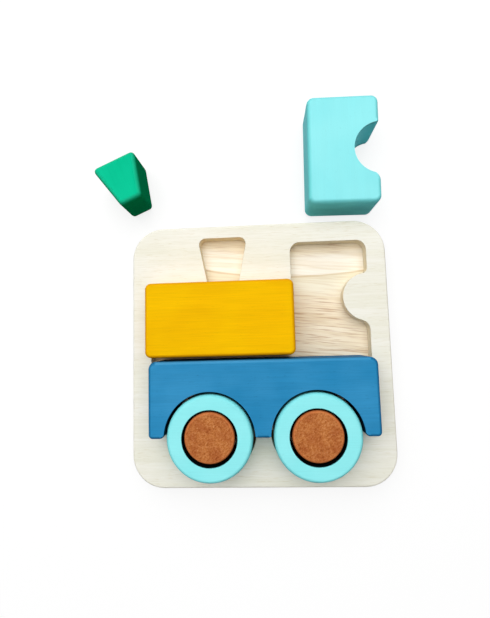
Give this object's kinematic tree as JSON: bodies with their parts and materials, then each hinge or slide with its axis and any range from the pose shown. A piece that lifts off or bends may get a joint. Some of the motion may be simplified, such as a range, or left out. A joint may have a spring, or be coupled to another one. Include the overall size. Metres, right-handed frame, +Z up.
{
  "type": "wooden train puzzle",
  "caption": "Square wooden tray with a train-shaped recess and chunky painted blocks that lift out: boiler, cab, chimney, chassis and ring wheels that turn on round hubs.",
  "frame": {"origin": "centre of the tray's underside, on the table", "axes": "+X along the train from its front to its cab, +Y from the wheels up to the chimney, +Z up out of the tray"},
  "size_m": [0.2027, 0.2664, 0.0363],
  "materials": {
    "streaked_wood": "streaked plywood face, clear matt lacquer",
    "pale_wood": "fine pale grain, clear satin lacquer",
    "yellow_paint": "satin water-based paint, grain showing through",
    "blue_paint": "satin water-based paint, grain showing through",
    "brown_pressed_wood": "speckled pressed wood fibre, clear matt lacquer",
    "aqua_wheel_paint": "satin water-based paint",
    "aqua_cab_paint": "satin water-based paint",
    "green_paint": "satin water-based paint"
  },
  "bodies": {
    "tray": {"tray_base_board": "streaked_wood", "tray_frame": "pale_wood"},
    "boiler": {"boiler": "yellow_paint"},
    "chassis": {"chassis": "blue_paint"},
    "cab": {"cab": "aqua_cab_paint"},
    "chimney": {"chimney": "green_paint"},
    "front_hub": {"front_hub": "brown_pressed_wood"},
    "front_wheel": {"front_wheel_ring": "aqua_wheel_paint"},
    "rear_hub": {"rear_hub": "brown_pressed_wood"},
    "rear_wheel": {"rear_wheel_ring": "aqua_wheel_paint"}
  },
  "joints": [
    {"name": "boiler_lift", "type": "slide", "parent": "tray", "child": "boiler", "axis": [0, 0, 1], "range_m": [0, 0.06]},
    {"name": "chassis_lift", "type": "slide", "parent": "tray", "child": "chassis", "axis": [0, 0, 1], "range_m": [0, 0.06]},
    {"name": "cab_lift", "type": "slide", "parent": "tray", "child": "cab", "axis": [0, 0, 1], "range_m": [0, 0.06]},
    {"name": "chimney_lift", "type": "slide", "parent": "tray", "child": "chimney", "axis": [0, 0, 1], "range_m": [0, 0.06]},
    {"name": "front_hub_lift", "type": "slide", "parent": "tray", "child": "front_hub", "axis": [0, 0, 1], "range_m": [0, 0.06]},
    {"name": "rear_hub_lift", "type": "slide", "parent": "tray", "child": "rear_hub", "axis": [0, 0, 1], "range_m": [0, 0.06]},
    {"name": "front_wheel_turn", "type": "hinge", "parent": "front_hub", "child": "front_wheel", "pos_m": [-0.03295, -0.0526, 0.0083], "axis": [0, 0, 1], "continuous": true},
    {"name": "rear_wheel_turn", "type": "hinge", "parent": "rear_hub", "child": "rear_wheel", "pos_m": [0.03505, -0.0526, 0.0083], "axis": [0, 0, 1], "continuous": true}
  ]
}
